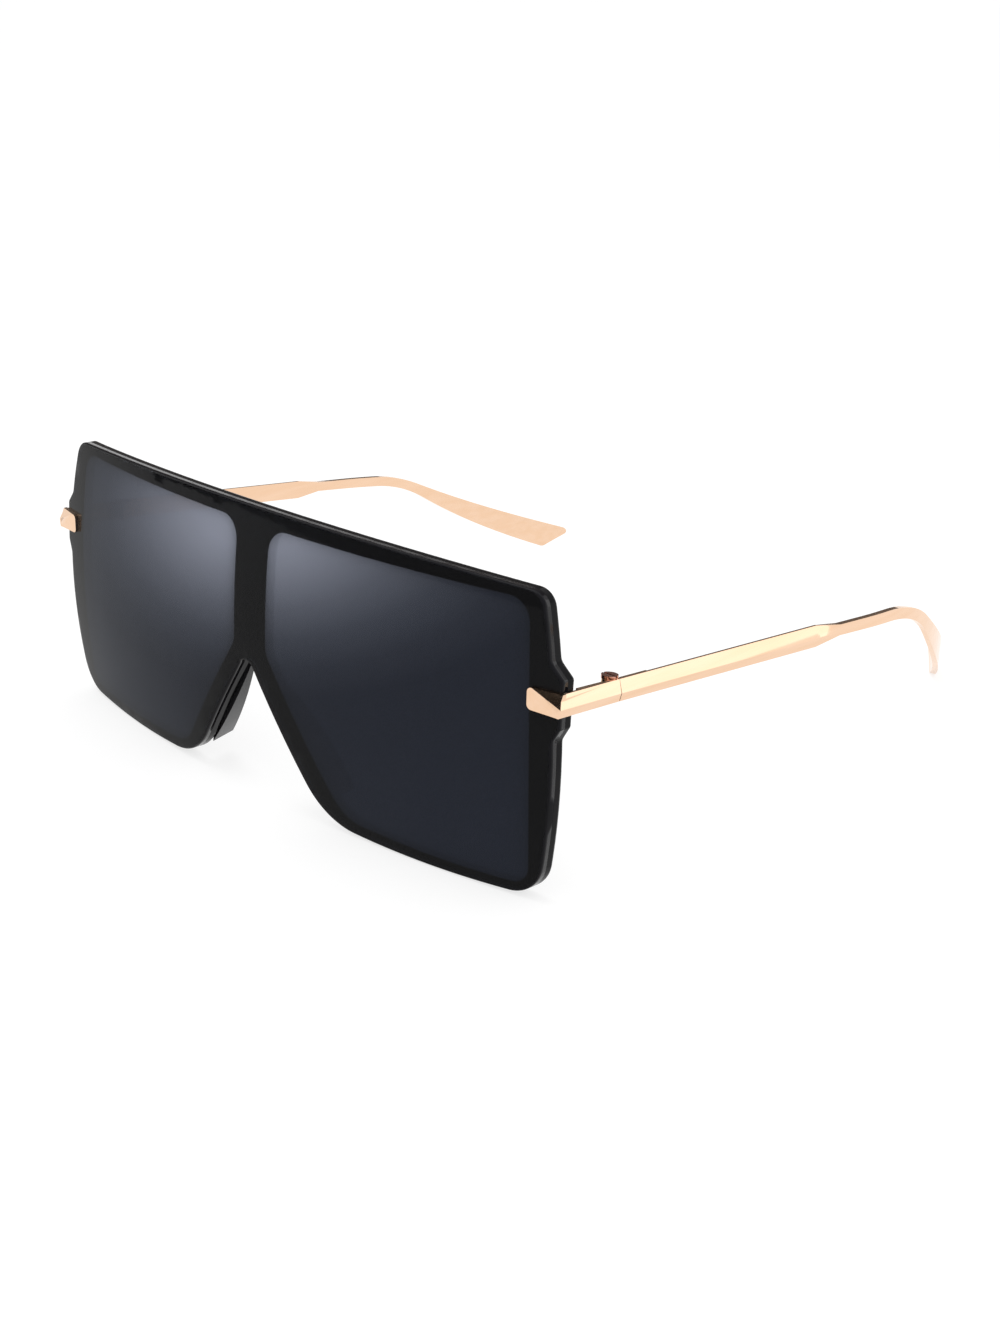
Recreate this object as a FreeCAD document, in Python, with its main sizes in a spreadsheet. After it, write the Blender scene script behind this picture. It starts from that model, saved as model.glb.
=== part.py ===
"""Oversized shield sunglasses with folding metal arms, standing open on their rim and arm tips.

Millimetres. +Z is up, the front faces -Y and the arms run to +Y. Left is the wearer's left, at +X.
The front is drawn flat in its own frame, with its origin at the middle of the lens's face, on the
front's middle line, and bent both ways. The hinges and arms are drawn in a frame whose origin
is the seam between endpiece and arm. The model is set down at the end with its box centred over the
origin.
"""
import FreeCAD, Part
import Sketcher
import math
import os
import re

from FreeCAD import Placement, Rotation, Vector

# Driving dimensions: name, value, what it measures
SIZES = [
    ("wrap_radius", 329.0, "radius that the lens face is bent to from side to side"),
    ("rise_radius", 208.0, "radius that the lens face is bent to from top to bottom"),
    ("rise_middle", -9.3, "height of the foremost line of the lens face"),
    ("front_lean", 3.4, "degrees that the front leans back"),
    ("lens_thickness", 1.5, "tinted shield"),
    ("frame_thickness", 1.9, "moulded frame behind the shield"),
    ("edge_round", 0.45, "rounding of the shield's front edge"),
    ("frame_round", 0.7, "rounding of the frame's back edge"),
    ("front_half_width", 72.4, "half width of the front just under its lugs"),
    ("top_corner_inset", 3.9, "top corners in from the half width"),
    ("top_corner_z", 18.2, "height of the top corners over the front's middle line"),
    ("top_arch_radius", 1500.0, "arch of the top edge"),
    ("top_corner_round", 3.8, "radius of the top corners"),
    ("upper_side_inset", 1.2, "side edge just over a lug, in from the half width"),
    ("lug_reach", 1.4, "lugs out from the half width"),
    ("lug_half_height", 4.2, "half height of a lug's outer end"),
    ("lug_root_half_height", 6.8, "half height of a lug's root"),
    ("lug_round", 0.9, "radius of a lug's outer corners"),
    ("lug_root_round", 2.2, "radius of a lug's root"),
    ("side_bow_radius", 101.0, "bow of the side edges"),
    ("bottom_outer_inset", 3.3, "outer bottom corners in from the half width"),
    ("bottom_outer_z", -36.5, "height of the outer bottom corners"),
    ("bottom_outer_round", 7.6, "radius of the outer bottom corners"),
    ("bottom_bow_radius", 317.0, "bow of the bottom edges"),
    ("bottom_inner_x", 20.5, "half width at the inner bottom corners"),
    ("bottom_inner_z", -36.7, "height of the inner bottom corners"),
    ("bottom_inner_round", 16.0, "radius of the inner bottom corners"),
    ("nose_bow_radius", 900.0, "bow of the nose edges"),
    ("nose_top_z", -8.2, "height at which the two nose edges would meet"),
    ("nose_top_round", 2.6, "radius at the top of the nose gap"),
    ("bridge_width", 9.6, "frame between the two windows"),
    ("rim_top", 2.0, "windows' upper edges under the top corners"),
    ("rim_side_top", 7.1, "windows' upper outer corners in from the half width"),
    ("rim_side_bottom", 5.7, "windows' lower outer corners in from the half width"),
    ("rim_bottom", 1.3, "windows' lower edges over the outer bottom corners"),
    ("rim_nose", 4.2, "frame along the nose edge"),
    ("window_side_bow_radius", 260.0, "bow of a window's outer edge"),
    ("window_top_round", 4.5, "radius of a window's upper corners"),
    ("window_bottom_round", 4.0, "radius of a window's outer bottom corner"),
    ("window_nose_round", 9.0, "radius of a window's inner bottom corner"),
    ("window_bridge_round", 4.0, "radius where a window leaves the bridge"),
    ("pad_start", 3.5, "nose edge left free over a nose pad"),
    ("pad_length", 28.0, "nose pad along the nose edge"),
    ("pad_inset", -0.9, "nose pad's face in from the nose edge"),
    ("pad_inner_radius", 129.0, "bow of a nose pad's face to the nose"),
    ("pad_outer_radius", 40.0, "bow of a nose pad's outer face"),
    ("pad_depth", 5.6, "how far a nose pad's lower end stands behind the frame"),
    ("pad_top_depth", 0.8, "how far its upper end stands behind the frame"),
    ("pad_flare", 11.0, "degrees that a nose pad turns away from the nose"),
    ("lug_clearance", 0.2, "room between a lug and the bar beside it"),
    ("bar_thickness", 1.2, "endpiece and arm at the hinge, across"),
    ("bar_height", 3.9, "endpiece and arm at the hinge, upright"),
    ("ridge_drop", 0.4, "ridge of the two outer facets under the bar's middle"),
    ("upper_facet_lean", 0.7, "how far the upper facet leans in"),
    ("lower_facet_lean", 0.4, "how far the lower facet leans in"),
    ("endpiece_length", 13.3, "endpiece from the lens face back to the seam"),
    ("endpiece_rise", 0.5, "front plate's middle over the front's middle line"),
    ("seam_drop", 1.4, "seam's middle under the front's middle line"),
    ("plate_reach", 5.8, "endpiece's front plate in from the lug's end"),
    ("plate_thickness", 0.7, "front plate's inner end over the lens face"),
    ("plate_turn", 5.0, "degrees that the plate's face turns back to the corner"),
    ("plate_height", 3.9, "front plate, upright"),
    ("plate_round", 0.9, "corners of the front plate's inner end"),
    ("facet_start", 1.0, "front plate's upper facet from the inner end"),
    ("facet_depth", 1.0, "front plate's upper facet at the corner, front to back"),
    ("stud_radius", 0.6, "studs through shield and frame"),
    ("inner_stud_inset", 4.7, "inner stud in from the lug's end"),
    ("outer_stud_inset", 1.7, "outer stud in from the lug's end"),
    ("stud_clearance", 0.06, "room round a stud"),
    ("nut_radius", 1.2, "cap nut"),
    ("nut_height", 1.1, "cap nut"),
    ("nut_cap", 0.3, "closed end of a cap nut"),
    ("nut_seat", 0.02, "room between a nut and the frame"),
    ("seam_gap", 0.12, "seam between endpiece and arm"),
    ("hinge_ahead", 0.4, "hinge pin in front of the seam"),
    ("barrel_radius", 1.4, "hinge barrel"),
    ("barrel_clearance", 0.12, "room between barrel and bar"),
    ("barrel_height", 3.4, "hinge barrel"),
    ("middle_knuckle_height", 1.4, "arm's knuckle"),
    ("knuckle_gap", 0.05, "room over and under the arm's knuckle"),
    ("leaf_thickness", 0.8, "hinge leaf"),
    ("arm_leaf_length", 6.5, "hinge leaf along the arm"),
    ("leaf_start", 1.1, "leaf from the barrel's side"),
    ("leaf_clearance", 0.5, "room between the front's leaf and the frame"),
    ("pin_radius", 0.6, "hinge screw's shank"),
    ("pin_clearance", 0.03, "running room round the shank"),
    ("screw_head_radius", 1.5, "hinge screw's head"),
    ("screw_head_height", 0.6, "hinge screw's head"),
    ("screw_slot_width", 0.35, "slot in the head"),
    ("screw_slot_depth", 0.3, "slot in the head"),
    ("arm_tilt", 6.6, "degrees that the hinges slope down to the back"),
    ("pair_twist", 1.75, "degrees that the left arm rises and the right arm drops from that slope"),
    ("wide_length", 51.5, "wide part of an arm"),
    ("wide_height", 4.1, "wide part of an arm at its far end"),
    ("neck_length", 6.5, "taper from the wide part to the slim part"),
    ("slim_thickness", 1.2, "slim part and tip, across"),
    ("slim_top_z", 1.3, "slim part's upper edge over the arm's line at the neck"),
    ("slim_bottom_z", -0.85, "slim part's lower edge at the neck"),
    ("ear_top_y", 83.2, "where the upper edge turns down"),
    ("ear_top_z", 1.2, "upper edge there"),
    ("ear_bottom_y", 85.0, "where the lower edge turns down"),
    ("ear_bottom_z", -1.2, "lower edge there"),
    ("ear_top_radius", 36.0, "bend of the upper edge"),
    ("ear_bottom_radius", 30.0, "bend of the lower edge"),
    ("tip_top_y", 126.3, "tip's upper corner"),
    ("left_tip_top_z", -21.6, "left tip's upper corner"),
    ("right_tip_top_z", -11.9, "right tip's upper corner"),
    ("tip_end_back", 5.6, "tip's lower corner in front of its upper corner"),
    ("tip_end_drop", 5.0, "tip's lower corner under its upper corner"),
    ("tip_bow_radius", 300.0, "hollow of the tip's upper edge"),
    ("tip_sole_radius", 155.0, "bulge of the tip's lower edge"),
    ("tip_round", 1.0, "radius of the tip's corners"),
    ("curl_start", 66.0, "where an arm starts to curve inwards"),
    ("arm_splay", 2.9, "how far an arm runs outwards by then"),
    ("curl_radius", 84.0, "inward curve of an arm to its tip"),
]

SIDES = (("left", 1), ("right", -1))
BAD_STATES = ("Invalid", "Error")

doc = FreeCAD.newDocument("sunglasses")
sheet = doc.addObject("Spreadsheet::Sheet", "sizes")
for row, (alias, size, meaning) in enumerate(SIZES, start=1):
    sheet.set(f"A{row}", meaning)
    sheet.set(f"B{row}", str(size))
    sheet.setAlias(f"B{row}", alias)
doc.recompute()

ALIAS_WORD = re.compile(r"\b(" + "|".join(alias for alias, _, _ in SIZES) + r")\b")


def sized(text):
    """An expression on the sheet's cells, from a formula in their plain names."""
    return ALIAS_WORD.sub(r"sizes.\1", text)


def number(text):
    """The present value of such a formula."""
    return float(sheet.evalExpression(ALIAS_WORD.sub(r".\1", text)))


def bind(thing, path, text):
    thing.setExpression(path, sized(text))


# Formulas that several pieces share
FRONT_REACH = "(lens_thickness + frame_thickness)"
LUG_X = "(front_half_width + lug_reach)"
TOP_CORNER_X = "(front_half_width - top_corner_inset)"
BOTTOM_OUTER_X = "(front_half_width - bottom_outer_inset)"
UPPER_SIDE_X = "(front_half_width - upper_side_inset)"
BAR_INNER_X = f"({LUG_X} + lug_clearance)"
BAR_OUTER_X = f"({BAR_INNER_X} + bar_thickness)"
PLATE_INNER_X = f"({LUG_X} - plate_reach)"
STUD_XS = (f"({LUG_X} - inner_stud_inset)", f"({LUG_X} - outer_stud_inset)")
HINGE_X = f"({BAR_INNER_X} - barrel_clearance - barrel_radius)"
NOSE_RUN = "sqrt(bottom_inner_x ^ 2 + (nose_top_z - bottom_inner_z) ^ 2)"
NECK_END = "(wide_length + neck_length)"
FAR = 400.0


def drum_radius(up, depth):
    """A bent layer's distance from the upright axis that it is bent round, at a height."""
    rise = math.sqrt(number(f"rise_radius - ({depth})") ** 2 - (up - number("rise_middle")) ** 2)
    return number("wrap_radius - rise_radius") + rise


def sag(half_width, up):
    """How far the bent lens face lies behind its foremost point."""
    return number("wrap_radius") - math.sqrt(drum_radius(up, 0.0) ** 2 - half_width ** 2)


def nose_point(along, inset):
    """A point along a nose edge's straight chord from its top, set into the lens by an inset."""
    across = f"(bottom_inner_x / ({NOSE_RUN}))"
    down = f"((nose_top_z - bottom_inner_z) / ({NOSE_RUN}))"
    return (f"({along}) * {across} + ({inset}) * {down}",
            f"nose_top_z - ({along}) * {down} + ({inset}) * {across}")


# Sketching and solid helpers


def plane_of(body, role):
    return next(feature for feature in body.Origin.OriginFeatures if feature.Role == role)


def new_sketch(body, name, role, offset=None):
    """A sketch on one of its body's own planes, moved along the plane's normal by a formula."""
    sketch = body.newObject("Sketcher::SketchObject", name)
    sketch.AttachmentSupport = [(plane_of(body, role), "")]
    sketch.MapMode = "FlatFace"
    if offset is not None:
        bind(sketch, "AttachmentOffset.Base.z", offset)
    return sketch


def shallow_arc(start, finish, radius, turn):
    """The short arc between two points, bulging to the left of the way for turn 1, right for -1.

    It runs counterclockwise as a sketch wants it, so a bulge to the left makes it start at the finish.
    """
    chord = finish - start
    left = Vector(-chord.y, chord.x, 0).normalize()
    centre = (start + finish) / 2 - left * turn * math.sqrt(radius ** 2 - (chord.Length / 2) ** 2)
    first, last = (finish, start) if turn > 0 else (start, finish)
    angles = [math.atan2(point.y - centre.y, point.x - centre.x) for point in (first, last)]
    if angles[1] < angles[0]:
        angles[1] += 2 * math.pi
    return Part.ArcOfCircle(Part.Circle(centre, Vector(0, 0, 1), radius), *angles)


def draw_outline(sketch, corners):
    """Draws a closed loop through corners (across, up, bow), each bound to its formulas.

    bow is None for a straight edge to the next corner, or (radius, turn) for an arc.
    """
    points = [Vector(number(across), number(up), 0) for across, up, _ in corners]
    edges = []
    for place, (_, _, bow) in enumerate(corners):
        start = points[place]
        finish = points[(place + 1) % len(points)]
        if bow is None:
            edges.append((sketch.addGeometry(Part.LineSegment(start, finish)), 1, 2))
            continue
        radius, turn = bow
        index = sketch.addGeometry(shallow_arc(start, finish, number(radius), turn))
        edges.append((index, 2, 1) if turn > 0 else (index, 1, 2))
        radius_rule = sketch.addConstraint(Sketcher.Constraint("Radius", index, number(radius)))
        bind(sketch, f"Constraints[{radius_rule}]", radius)
    for place, (across, up, _) in enumerate(corners):
        index, first, _ = edges[place]
        before, _, last = edges[place - 1]
        sketch.addConstraint(Sketcher.Constraint("Coincident", before, last, index, first))
        for kind, text in (("DistanceX", across), ("DistanceY", up)):
            rule = sketch.addConstraint(Sketcher.Constraint(kind, -1, 1, index, first, number(text)))
            bind(sketch, f"Constraints[{rule}]", text)
    doc.recompute()


def mirrored_formula(side, text):
    return text if side > 0 else f"-({text})"


def mirrored_outline(side, corners):
    """The same corners for the other side: their first coordinate and the turns change sign."""
    return [(mirrored_formula(side, across), up, bow and (bow[0], bow[1] * side))
            for across, up, bow in corners]


def pad_sketch(body, sketch, name, length, symmetric=False, reverse=False):
    pad = body.newObject("PartDesign::Pad", name)
    pad.Profile = sketch
    bind(pad, "Length", length)
    if symmetric:
        pad.SideType = "Symmetric"
    pad.Reversed = reverse
    doc.recompute()
    return pad


def cross_edges(shape, direction, places, axes):
    """Names of the straight edges along a direction that pass through the given corners."""
    names = []
    for index, edge in enumerate(shape.Edges, start=1):
        if not isinstance(edge.Curve, Part.Line) or abs(edge.Curve.Direction.dot(direction)) < 0.999:
            continue
        point = edge.Vertexes[0].Point
        here = (getattr(point, axes[0]), getattr(point, axes[1]))
        if any(math.dist(here, place) < 1e-3 for place in places):
            names.append(f"Edge{index}")
    return names


def round_corners(body, feature, radius, corners, direction, axes):
    """Rounds the corners of a padded outline."""
    places = [(number(across), number(up)) for across, up in corners]
    names = cross_edges(feature.Shape, direction, places, axes)
    if len(names) != len(places):
        raise RuntimeError(f"{body.Label}: {len(names)} of {len(places)} corners found for {radius}")
    fillet = body.newObject("PartDesign::Fillet", f"{body.Name}_{radius}")
    fillet.Base = (feature, names)
    bind(fillet, "Radius", radius)
    doc.recompute()
    return fillet


def solid_box(name, side, xs, ys, zs, placement):
    """A box between pairs of formulas, mirrored to its side, in a frame."""
    box = doc.addObject("Part::Box", name)
    x_low = xs[0] if side > 0 else f"-({xs[1]})"
    for path, text in (("Length", f"({xs[1]}) - ({xs[0]})"), ("Width", f"({ys[1]}) - ({ys[0]})"),
                       ("Height", f"({zs[1]}) - ({zs[0]})")):
        bind(box, path, text)
    corner = Vector(number(x_low), number(ys[0]), number(zs[0]))
    box.Placement = placement * Placement(corner, Rotation())
    return box


def solid_cylinder(name, radius, height, placement):
    cylinder = doc.addObject("Part::Cylinder", name)
    bind(cylinder, "Radius", radius)
    bind(cylinder, "Height", height)
    cylinder.Placement = placement
    return cylinder


def half_space(name, point, direction):
    """A big box with one face through a point, lying on that face's side in a direction."""
    box = doc.addObject("Part::Box", name)
    box.Length = box.Width = box.Height = FAR / 2
    turned = Placement(point, Rotation(Vector(0, 0, 1), direction))
    box.Placement = turned * Placement(Vector(-FAR / 4, -FAR / 4, 0), Rotation())
    return box


def join(kind, name, base, tool):
    """A two-piece boolean: Part::Cut, Part::Fuse or Part::Common."""
    result = doc.addObject(kind, name)
    result.Base = base
    result.Tool = tool
    doc.recompute()
    return result


def fuse_all(name, pieces):
    result = doc.addObject("Part::MultiFuse", name)
    result.Shapes = pieces
    doc.recompute()
    return result


def cut_all(name, base, tools):
    tool = tools[0] if len(tools) == 1 else fuse_all(f"{name}_tools", tools)
    return join("Part::Cut", name, base, tool)


def round_edges(name, base, radius, wanted):
    """Rounds the edges of a boolean's result that the test picks."""
    fillet = doc.addObject("Part::Fillet", name)
    fillet.Base = base
    size = number(radius)
    fillet.Edges = [(index, size, size)
                    for index, edge in enumerate(base.Shape.Edges, start=1) if wanted(edge)]
    doc.recompute()
    return fillet


# The frames that pieces are drawn in


def front_frame():
    return Placement(Vector(), Rotation(Vector(1, 0, 0), -number("front_lean")))


def arm_frame():
    middle = number(f"{BAR_INNER_X} + bar_thickness / 2")
    seam = sag(middle, number("endpiece_rise")) + number("endpiece_length")
    place = Vector(0, seam, -number("seam_drop"))
    return Placement(place, Rotation(Vector(1, 0, 0), -number("arm_tilt")))


def wrap_point(half_width, up, depth):
    """A frame on the bent front at a depth behind the lens face, its Z axis pointing straight in."""
    turn = math.asin(half_width / drum_radius(up, 0.0))
    lift = math.asin((up - number("rise_middle")) / number("rise_radius"))
    level = math.cos(lift)
    inward = Vector(-math.sin(turn) * level, math.cos(turn) * level, -math.sin(lift))
    place = Vector(half_width, sag(half_width, up), up) + inward * depth
    return Placement(place, Rotation(Vector(0, 0, 1), inward))


FRONT = front_frame()
ARM = arm_frame()

# The front


def front_corners():
    """The outline of shield and frame seen from the front, clockwise from the left top corner."""
    half = [
        (TOP_CORNER_X, "top_corner_z", ("side_bow_radius", 1)),
        (UPPER_SIDE_X, "lug_root_half_height", None),
        (LUG_X, "lug_half_height", None),
        (LUG_X, "-lug_half_height", None),
        ("front_half_width", "-lug_root_half_height", ("side_bow_radius", 1)),
        (BOTTOM_OUTER_X, "bottom_outer_z", ("bottom_bow_radius", 1)),
        ("bottom_inner_x", "bottom_inner_z", ("nose_bow_radius", 1)),
    ]
    middle = ("0", "nose_top_z", ("nose_bow_radius", 1))
    bows = [half[place - 1][2] for place in range(len(half) - 1, 0, -1)]
    other = [(f"-{across}", up, bow) for (across, up, _), bow in zip(reversed(half), bows)]
    last = (f"-{half[0][0]}", half[0][1], ("top_arch_radius", 1))
    return half + [middle] + other + [last]


def front_blank(name):
    """The front's outline as a straight block, with its corners rounded."""
    body = doc.addObject("PartDesign::Body", f"{name}_blank")
    sketch = new_sketch(body, f"{name}_outline", "XZ_Plane")
    draw_outline(sketch, front_corners())
    feature = pad_sketch(body, sketch, f"{name}_block", f"{FAR / 4}", symmetric=True)
    rounds = (
        ("top_corner_round", (TOP_CORNER_X, "top_corner_z")),
        ("bottom_outer_round", (BOTTOM_OUTER_X, "bottom_outer_z")),
        ("bottom_inner_round", ("bottom_inner_x", "bottom_inner_z")),
        ("lug_round", (LUG_X, "lug_half_height"), (LUG_X, "-lug_half_height")),
        ("lug_root_round", (UPPER_SIDE_X, "lug_root_half_height"),
         ("front_half_width", "-lug_root_half_height")),
    )
    for radius, *half in rounds:
        both = half + [(f"-{across}", up) for across, up in half]
        feature = round_corners(body, feature, radius, both, Vector(0, 1, 0), "xz")
    round_corners(body, feature, "nose_top_round", [("0", "nose_top_z")], Vector(0, 1, 0), "xz")
    return body


def wrap_drum(name, depth):
    """The barrel inside the bent front, at a depth behind the lens face."""
    half = f"{FAR / 8}"
    rise = f"(rise_radius - ({depth}))"
    end_radius = f"(wrap_radius - rise_radius + sqrt({rise} ^ 2 - {half} ^ 2))"
    body = doc.addObject("PartDesign::Body", name)
    sketch = new_sketch(body, f"{name}_profile", "XZ_Plane")
    draw_outline(sketch, [
        ("0", f"-{half}", None),
        (end_radius, f"-{half}", (rise, -1)),
        (end_radius, half, None),
        ("0", half, None),
    ])
    barrel = body.newObject("PartDesign::Revolution", f"{name}_barrel")
    barrel.Profile = sketch
    barrel.ReferenceAxis = (sketch, ["V_Axis"])
    body.Placement = Placement(Vector(0, number("wrap_radius"), number("rise_middle")), Rotation())
    doc.recompute()
    return body


def wrap_band(name, near, far):
    """The bent layer between two depths behind the lens face."""
    return join("Part::Cut", name, wrap_drum(f"{name}_outer", near), wrap_drum(f"{name}_inner", far))


def on_layer(edge, depth):
    """Whether an edge lies on the bent layer at a depth behind the lens face."""
    radius = number("wrap_radius")
    first, last = edge.ParameterRange
    points = [edge.valueAt(first + (last - first) * share) for share in (0.0, 0.5, 1.0)]
    return all(abs(math.hypot(p.x, p.y - radius) - drum_radius(p.z, depth)) < 1e-3 for p in points)


def stud_places(side):
    return [wrap_point(side * number(across), number("endpiece_rise"), 0.0) for across in STUD_XS]


def stud_holes(name):
    """Tools for the holes of all four studs, from in front of the shield to behind the frame."""
    holes = []
    for label, side in SIDES:
        for count, place in enumerate(stud_places(side), start=1):
            back = Placement(Vector(0, 0, -number(FRONT_REACH)), Rotation())
            holes.append(solid_cylinder(f"{name}_hole_{label}_{count}", "stud_radius + stud_clearance",
                                        f"3 * {FRONT_REACH}", place * back))
    return holes


def finish(thing, label, placement=None):
    """Marks a finished sub-part: its label names its file."""
    thing.Label = label
    if placement is not None:
        thing.Placement = placement
    doc.recompute()
    return thing


def make_shield_lens():
    layer = wrap_band("lens_layer", "0", "lens_thickness")
    bent = join("Part::Common", "lens_bent", front_blank("lens"), layer)
    soft = round_edges("lens_soft", bent, "edge_round", lambda edge: on_layer(edge, 0.0))
    return finish(cut_all("lens", soft, stud_holes("lens")), "shield_lens", FRONT)


def window_corners(side):
    """A window of the frame, from its upper inner corner round by the outer edge."""
    low = nose_point("0", "rim_nose")
    far = nose_point(NOSE_RUN, "rim_nose")
    bridge = "(bridge_width / 2)"
    slope = f"((({far[1]}) - ({low[1]})) / (({far[0]}) - ({low[0]})))"
    floor = "(bottom_outer_z + rim_bottom)"
    corners = [
        (bridge, "top_corner_z - rim_top", None),
        ("front_half_width - rim_side_top", "top_corner_z - rim_top", ("window_side_bow_radius", 1)),
        ("front_half_width - rim_side_bottom", floor, ("bottom_bow_radius", 1)),
        (f"({low[0]}) + ({floor} - ({low[1]})) / {slope}", floor, None),
        (bridge, f"({low[1]}) + ({bridge} - ({low[0]})) * {slope}", None),
    ]
    return mirrored_outline(side, corners)


def window_block(label, side):
    body = doc.addObject("PartDesign::Body", f"window_{label}")
    sketch = new_sketch(body, f"window_outline_{label}", "XZ_Plane")
    corners = window_corners(side)
    draw_outline(sketch, corners)
    feature = pad_sketch(body, sketch, f"window_pad_{label}", f"{FAR / 4}", symmetric=True)
    rounds = (("window_top_round", (0, 1)), ("window_bottom_round", (2,)), ("window_nose_round", (3,)),
              ("window_bridge_round", (4,)))
    for radius, picked in rounds:
        places = [corners[place][:2] for place in picked]
        feature = round_corners(body, feature, radius, places, Vector(0, 1, 0), "xz")
    return body


def make_front_frame():
    layer = wrap_band("frame_layer", "lens_thickness", FRONT_REACH)
    bent = join("Part::Common", "frame_bent", front_blank("frame"), layer)
    back = number(FRONT_REACH)
    soft = round_edges("frame_soft", bent, "frame_round", lambda edge: on_layer(edge, back))
    cuts = [window_block(label, side) for label, side in SIDES] + stud_holes("frame")
    return finish(cut_all("frame", soft, cuts), "front_frame", FRONT)


def make_nose_pad(label, side):
    """A leaf-shaped fin behind the nose edge that turns away from the nose as it goes back."""
    body = doc.addObject("PartDesign::Body", f"nose_leaf_{label}")
    sketch = new_sketch(body, f"nose_leaf_outline_{label}", "XZ_Plane")
    top = nose_point("pad_start", "pad_inset")
    low = nose_point("pad_start + pad_length", "pad_inset")
    corners = [(*top, ("pad_outer_radius", 1)), (*low, ("pad_inner_radius", 1))]
    draw_outline(sketch, mirrored_outline(side, corners))
    pad = pad_sketch(body, sketch, f"nose_leaf_pad_{label}", f"{FAR / 4}")
    run = number(NOSE_RUN)
    turn = math.tan(math.radians(number("pad_flare")))
    aside = Vector(side * number("nose_top_z - bottom_inner_z") / run, 0, number("bottom_inner_x") / run)
    pad.UseCustomVector = True
    pad.Direction = Vector(0, 1, 0) + aside * turn
    doc.recompute()
    drum = wrap_drum(f"nose_drum_{label}", FRONT_REACH)
    behind = join("Part::Common", f"nose_leaf_behind_{label}", body, drum)
    upper, lower = [Vector(side * number(across), 0, number(up)) for across, up in (top, low)]
    upper.y = sag(upper.x, upper.z) + number(f"{FRONT_REACH} + pad_top_depth")
    lower.y = sag(lower.x, lower.z) + number(f"{FRONT_REACH} + pad_depth")
    forward = (lower - upper).cross(aside) * side
    ahead = half_space(f"nose_ahead_{label}", upper, forward)
    return finish(join("Part::Common", f"nose_pad_{label}", behind, ahead), f"nose_pad_{label}", FRONT)


# The bars: endpieces and arms


def bar_section(side, outer_x, thickness, low, high, facets):
    """A bar's outline across, in formulas: flat inside, and two facets outside that meet in a ridge."""
    lower, upper = ("lower_facet_lean", "upper_facet_lean") if facets else ("0", "0")
    inner = f"({outer_x}) - ({thickness})"
    ridge = f"(({low}) + ({high})) / 2 - ridge_drop"
    corners = [
        (inner, low, None),
        (f"({outer_x}) - {lower}", low, None),
        (outer_x, ridge, None),
        (f"({outer_x}) - {upper}", high, None),
        (inner, high, None),
    ]
    return mirrored_outline(side, corners)


def lofted_bar(name, sections):
    """A straight-sided bar through sections (place along Y, corners)."""
    body = doc.addObject("PartDesign::Body", name)
    sketches = []
    for count, (along, corners) in enumerate(sections, start=1):
        sketch = new_sketch(body, f"{name}_section_{count}", "XZ_Plane", f"-({along})")
        draw_outline(sketch, corners)
        sketches.append(sketch)
    loft = body.newObject("PartDesign::AdditiveLoft", f"{name}_loft")
    loft.Profile = sketches[0]
    loft.Sections = sketches[1:]
    loft.Ruled = True
    doc.recompute()
    return body


def plate_points(side):
    """The front plate's face at its inner end and at the corner, on the plate's middle line."""
    inner_x = number(PLATE_INNER_X)
    outer_x = number(BAR_OUTER_X)
    up = number("endpiece_rise")
    inner_y = sag(inner_x, up) - number("plate_thickness")
    outer_y = inner_y + (outer_x - inner_x) * math.tan(math.radians(number("plate_turn")))
    return Vector(side * inner_x, inner_y, up), Vector(side * outer_x, outer_y, up)


def endpiece_plate(label, side):
    """The endpiece's front plate: flat outside, and lying on the lens face."""
    body = doc.addObject("PartDesign::Body", f"endpiece_plate_{label}")
    sketch = new_sketch(body, f"endpiece_plate_outline_{label}", "XZ_Plane")
    low = "endpiece_rise - plate_height / 2"
    high = "endpiece_rise + plate_height / 2"
    outer = f"{BAR_OUTER_X} - lower_facet_lean"
    corners = mirrored_outline(side, [
        (PLATE_INNER_X, low, None),
        (outer, low, None),
        (outer, high, None),
        (PLATE_INNER_X, high, None),
    ])
    draw_outline(sketch, corners)
    pad = pad_sketch(body, sketch, f"endpiece_plate_pad_{label}", f"{FAR / 4}", symmetric=True)
    inner_corners = [corners[0][:2], corners[3][:2]]
    round_corners(body, pad, "plate_round", inner_corners, Vector(0, 1, 0), "xz")
    inner, outer = plate_points(side)
    face = (outer - inner).cross(Vector(0, 0, side))
    behind = half_space(f"endpiece_behind_{label}", inner, -face)
    flat = join("Part::Common", f"endpiece_flat_{label}", body, behind)
    plate = join("Part::Cut", f"endpiece_laid_{label}", flat, wrap_drum(f"endpiece_drum_{label}", "0"))
    plate.Placement = FRONT
    return plate


def endpiece_facet(label, side):
    """The tool that cuts the plate's upper facet, which widens from the inner end to the corner."""
    inner, outer = plate_points(side)
    half = number("plate_height / 2")
    along = outer - inner
    start = inner + along * (number("facet_start") / along.Length) + Vector(0, 0, half)
    ridge = outer - Vector(0, 0, number("ridge_drop"))
    rear = outer + Vector(0, number("facet_depth"), half)
    out = (ridge - start).cross(rear - start) * side
    tool = half_space(f"endpiece_facet_{label}", start, out)
    tool.Placement = FRONT * tool.Placement
    return tool


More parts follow.
